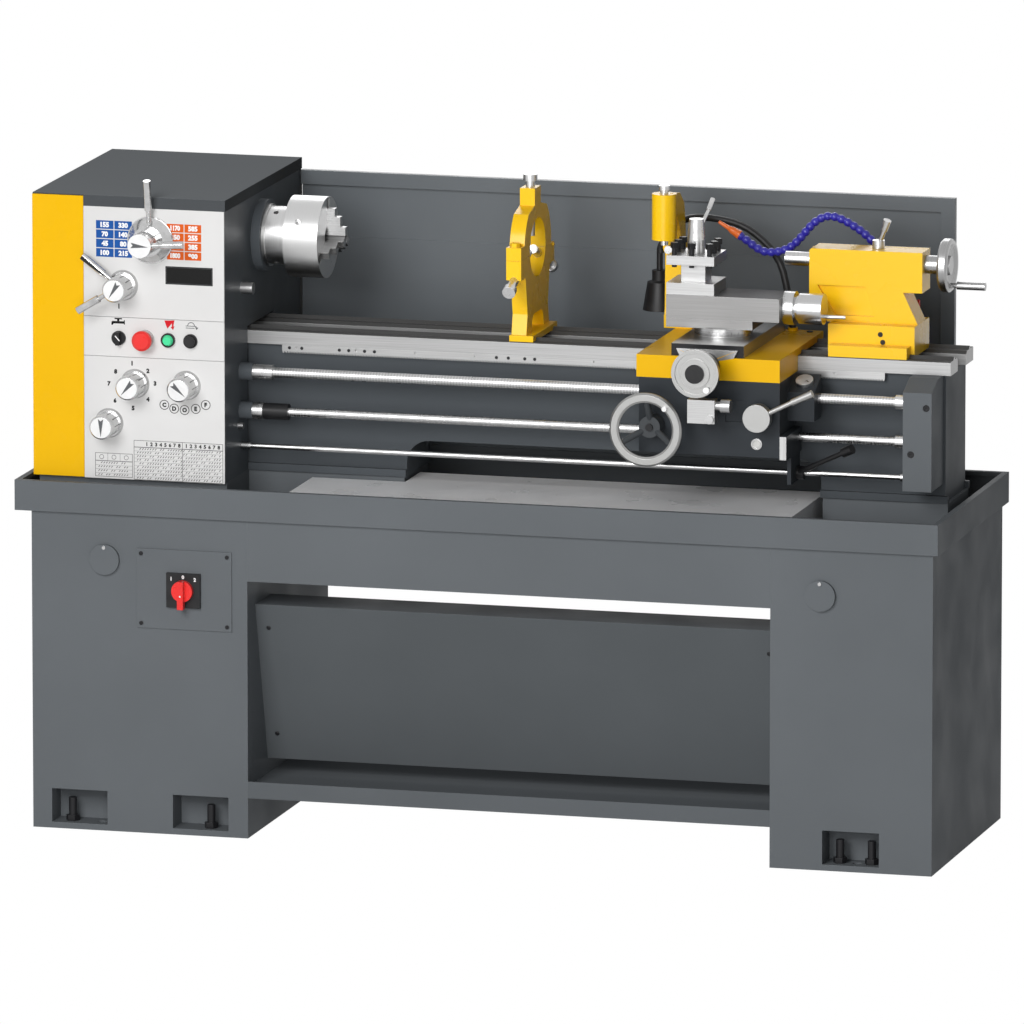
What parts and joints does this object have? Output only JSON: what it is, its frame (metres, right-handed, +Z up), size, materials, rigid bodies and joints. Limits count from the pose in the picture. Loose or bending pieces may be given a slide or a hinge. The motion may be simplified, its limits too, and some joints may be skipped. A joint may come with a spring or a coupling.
{
  "type": "engine lathe",
  "caption": "Floor-standing engine lathe with cabinet stand, chip pan, geared headstock, jaw chuck, carriage with tool post, tailstock, steady rest and follow rest.",
  "frame": {"origin": "on the floor, at the centre of the anchor-bolt rectangle, under the middle of the chip pan", "axes": "+X along the spindle axis towards the tailstock, -Y towards the operator, +Z up"},
  "size_m": [1.869, 0.641, 1.2917],
  "materials": {
    "grey_paint": "satin enamel",
    "yellow_paint": "satin enamel",
    "white_panel": "satin printed sheet",
    "black_plastic": "moulded",
    "red_plastic": "moulded",
    "belt_rubber": "ribbed belt",
    "blue_hose": "segmented hose",
    "zinc": "plated",
    "chrome": "bright",
    "bright_sheet": "bare sheet",
    "steel": "ground"
  },
  "bodies": {
    "machine": {"left_cabinet": "grey_paint", "right_cabinet": "grey_paint", "stand_panels": "grey_paint", "chip_pan": "grey_paint", "chip_tray": "bright_sheet", "splash_guard": "grey_paint", "switch_plate": "grey_paint", "levelling_screws": "zinc", "bed": "grey_paint", "rack": "steel", "end_bracket": "grey_paint", "headstock_case": "grey_paint", "headstock_lid": "grey_paint", "control_panels": "white_panel", "motor": "grey_paint", "drive_belt": "belt_rubber", "coolant_hose": "blue_hose"},
    "spindle": {"spindle": "steel", "chuck_body": "steel"},
    "carriage": {"saddle": "yellow_paint", "apron": "grey_paint", "follow_rest": "yellow_paint", "work_lamp": "black_plastic"},
    "tailstock": {"tailstock_body": "yellow_paint"},
    "main_switch": {"main_switch": "red_plastic"},
    "end_cover": {"end_cover": "yellow_paint"},
    "chuck_jaw_1": {"chuck_jaw_1": "steel"},
    "chuck_jaw_2": {"chuck_jaw_2": "steel"},
    "chuck_jaw_3": {"chuck_jaw_3": "steel"},
    "motor_pulley": {"motor_pulley": "zinc"},
    "input_shaft": {"input_shaft": "zinc"},
    "range_lever": {"range_lever": "chrome"},
    "speed_lever": {"speed_lever": "chrome"},
    "feed_levers": {"feed_levers": "chrome"},
    "pitch_knob": {"pitch_knob": "chrome"},
    "mode_knob": {"mode_knob": "chrome"},
    "range_knob": {"range_knob": "chrome"},
    "coolant_switch": {"coolant_switch": "black_plastic"},
    "stop_button": {"stop_button": "red_plastic"},
    "jog_button": {"jog_button": "black_plastic"},
    "leadscrew": {"leadscrew": "steel"},
    "feed_rod": {"feed_rod": "steel"},
    "control_rod": {"control_rod": "steel"},
    "carriage_handwheel": {"carriage_handwheel": "chrome"},
    "half_nut_lever": {"half_nut_lever": "chrome"},
    "feed_selector": {"feed_selector": "grey_paint"},
    "start_lever": {"start_lever": "black_plastic"},
    "thread_dial": {"thread_dial": "chrome"},
    "cross_slide": {"cross_slide": "steel"},
    "cross_handwheel": {"cross_handwheel": "chrome"},
    "compound_base": {"compound_base": "steel"},
    "top_slide": {"top_slide": "steel"},
    "top_slide_handle": {"top_slide_handle": "chrome"},
    "tool_post": {"tool_post": "steel"},
    "tool_post_lever": {"tool_post_lever": "chrome"},
    "quill": {"quill": "steel"},
    "tailstock_handwheel": {"tailstock_handwheel": "chrome"},
    "quill_lock": {"quill_lock": "chrome"},
    "steady_base": {"steady_base": "yellow_paint"},
    "steady_cap": {"steady_cap": "yellow_paint"}
  },
  "joints": [
    {"name": "spindle_spin", "type": "hinge", "parent": "machine", "child": "spindle", "pos_m": [-0.6, 0, 1.145], "axis": [1, 0, 0], "continuous": true},
    {"name": "input_shaft_spin", "type": "hinge", "parent": "machine", "child": "input_shaft", "pos_m": [-0.7, 0.12471, 1.073], "axis": [1, 0, 0], "continuous": true},
    {"name": "motor_spin", "type": "hinge", "parent": "machine", "child": "motor_pulley", "pos_m": [-0.8, 0.19, 0.82], "axis": [1, 0, 0], "continuous": true},
    {"name": "jaw_1_travel", "type": "slide", "parent": "spindle", "child": "chuck_jaw_1", "axis": [0, 0, 1], "range_m": [0, 0.018]},
    {"name": "jaw_2_travel", "type": "slide", "parent": "spindle", "child": "chuck_jaw_2", "axis": [0, -0.866, -0.5], "range_m": [0, 0.018]},
    {"name": "jaw_3_travel", "type": "slide", "parent": "spindle", "child": "chuck_jaw_3", "axis": [0, 0.866, -0.5], "range_m": [0, 0.018]},
    {"name": "main_switch_turn", "type": "hinge", "parent": "machine", "child": "main_switch", "pos_m": [-0.583, -0.29, 0.487], "axis": [0, 1, 0], "range_deg": [0, 90]},
    {"name": "end_cover_swing", "type": "hinge", "parent": "machine", "child": "end_cover", "pos_m": [-0.79425, 0.297, 0.9], "axis": [0, 0, -1], "range_deg": [0, 100]},
    {"name": "range_lever_turn", "type": "hinge", "parent": "machine", "child": "range_lever", "pos_m": [-0.658, -0.255, 1.169], "axis": [0, 1, 0], "range_deg": [-40, 40]},
    {"name": "speed_lever_turn", "type": "hinge", "parent": "machine", "child": "speed_lever", "pos_m": [-0.658, -0.255, 1.169], "axis": [0, 1, 0], "range_deg": [-45, 45]},
    {"name": "feed_levers_turn", "type": "hinge", "parent": "machine", "child": "feed_levers", "pos_m": [-0.714, -0.255, 1.077], "axis": [0, 1, 0], "range_deg": [-15, 15]},
    {"name": "pitch_knob_turn", "type": "hinge", "parent": "machine", "child": "pitch_knob", "pos_m": [-0.691, -0.255, 0.884], "axis": [0, 1, 0], "range_deg": [-150, 150]},
    {"name": "mode_knob_turn", "type": "hinge", "parent": "machine", "child": "mode_knob", "pos_m": [-0.587, -0.255, 0.885], "axis": [0, 1, 0], "range_deg": [-60, 60]},
    {"name": "range_knob_turn", "type": "hinge", "parent": "machine", "child": "range_knob", "pos_m": [-0.744, -0.255, 0.804], "axis": [0, 1, 0], "range_deg": [-60, 60]},
    {"name": "coolant_switch_turn", "type": "hinge", "parent": "machine", "child": "coolant_switch", "pos_m": [-0.723, -0.255, 0.973], "axis": [0, 1, 0], "range_deg": [0, 90]},
    {"name": "stop_button_press", "type": "slide", "parent": "machine", "child": "stop_button", "axis": [0, 1, 0], "range_m": [0, 0.005], "stiffness_N_per_m": 600},
    {"name": "jog_button_press", "type": "slide", "parent": "machine", "child": "jog_button", "axis": [0, 1, 0], "range_m": [0, 0.003], "stiffness_N_per_m": 400},
    {"name": "leadscrew_spin", "type": "hinge", "parent": "machine", "child": "leadscrew", "pos_m": [0, -0.14, 0.898], "axis": [1, 0, 0], "continuous": true},
    {"name": "feed_rod_spin", "type": "hinge", "parent": "machine", "child": "feed_rod", "pos_m": [0, -0.14, 0.821], "axis": [1, 0, 0], "continuous": true},
    {"name": "control_rod_turn", "type": "hinge", "parent": "machine", "child": "control_rod", "pos_m": [0, -0.14, 0.751], "axis": [1, 0, 0], "range_deg": [-20, 20]},
    {"name": "carriage_travel", "type": "slide", "parent": "machine", "child": "carriage", "axis": [1, 0, 0], "range_m": [-0.14, 0.02]},
    {"name": "carriage_wheel_turn", "type": "hinge", "parent": "carriage", "child": "carriage_handwheel", "pos_m": [0.348, -0.238, 0.851], "axis": [0, 1, 0], "range_deg": [-2520, 360]},
    {"name": "half_nut_turn", "type": "hinge", "parent": "carriage", "child": "half_nut_lever", "pos_m": [0.561, -0.238, 0.878], "axis": [0, 1, 0], "range_deg": [0, 40]},
    {"name": "feed_selector_turn", "type": "hinge", "parent": "carriage", "child": "feed_selector", "pos_m": [0.459, -0.238, 0.892], "axis": [0, 1, 0], "range_deg": [-25, 25]},
    {"name": "start_lever_turn", "type": "hinge", "parent": "carriage", "child": "start_lever", "pos_m": [0.615, -0.14, 0.751], "axis": [1, 0, 0], "range_deg": [-20, 20]},
    {"name": "thread_dial_spin", "type": "hinge", "parent": "carriage", "child": "thread_dial", "pos_m": [0.624, -0.147, 0.928], "axis": [0, -0.454, 0.891], "continuous": true},
    {"name": "cross_slide_travel", "type": "slide", "parent": "carriage", "child": "cross_slide", "axis": [0, 1, 0], "range_m": [-0.004, 0.03]},
    {"name": "cross_wheel_turn", "type": "hinge", "parent": "carriage", "child": "cross_handwheel", "pos_m": [0.452, -0.238, 0.969], "axis": [0, 1, 0], "range_deg": [-360, 2700]},
    {"name": "compound_swivel", "type": "hinge", "parent": "cross_slide", "child": "compound_base", "pos_m": [0.45, -0.1, 1.0095], "axis": [0, 0, -1], "range_deg": [-5, 45]},
    {"name": "top_slide_travel", "type": "slide", "parent": "compound_base", "child": "top_slide", "axis": [-1, 0, 0], "range_m": [-0.02, 0.035]},
    {"name": "top_slide_handle_turn", "type": "hinge", "parent": "top_slide", "child": "top_slide_handle", "pos_m": [0.6, -0.1, 1.06555], "axis": [-1, 0, 0], "range_deg": [-2400, 4200]},
    {"name": "tool_post_turn", "type": "hinge", "parent": "top_slide", "child": "tool_post", "pos_m": [0.3955, -0.101, 1.09], "axis": [0, 0, 1], "continuous": true},
    {"name": "tool_post_lever_turn", "type": "hinge", "parent": "top_slide", "child": "tool_post_lever", "pos_m": [0.3955, -0.101, 1.166], "axis": [0, 0, 1], "range_deg": [-60, 60]},
    {"name": "tailstock_travel", "type": "slide", "parent": "machine", "child": "tailstock", "axis": [1, 0, 0], "range_m": [-0.05, 0.06]},
    {"name": "quill_travel", "type": "slide", "parent": "tailstock", "child": "quill", "axis": [-1, 0, 0], "range_m": [-0.04, 0.05]},
    {"name": "quill_wheel_turn", "type": "hinge", "parent": "tailstock", "child": "tailstock_handwheel", "pos_m": [0.85, 0, 1.145], "axis": [-1, 0, 0], "range_deg": [-2880, 3600]},
    {"name": "quill_lock_turn", "type": "hinge", "parent": "tailstock", "child": "quill_lock", "pos_m": [0.733, 0, 1.172], "axis": [0, 0, 1], "range_deg": [-30, 30]},
    {"name": "steady_travel", "type": "slide", "parent": "machine", "child": "steady_base", "axis": [1, 0, 0], "range_m": [-0.02, 0.02]},
    {"name": "steady_cap_open", "type": "hinge", "parent": "steady_base", "child": "steady_cap", "pos_m": [0.036, 0.113, 1.132], "axis": [-1, 0, 0], "range_deg": [0, 80]}
  ],
  "couplings": [
    {"joint": "input_shaft_spin", "follows": "spindle_spin", "ratio": -1.6667},
    {"joint": "motor_spin", "follows": "spindle_spin", "ratio": -3.3333},
    {"joint": "jaw_2_travel", "follows": "jaw_1_travel", "ratio": 1},
    {"joint": "jaw_3_travel", "follows": "jaw_1_travel", "ratio": 1},
    {"joint": "carriage_wheel_turn", "follows": "carriage_travel", "rad_per_m": 314.16},
    {"joint": "cross_slide_travel", "follows": "cross_wheel_turn", "m_per_rad": 0.00063662},
    {"joint": "top_slide_travel", "follows": "top_slide_handle_turn", "m_per_rad": 0.00047746},
    {"joint": "quill_travel", "follows": "quill_wheel_turn", "m_per_rad": 0.00079577},
    {"joint": "start_lever_turn", "follows": "control_rod_turn", "ratio": 1}
  ]
}
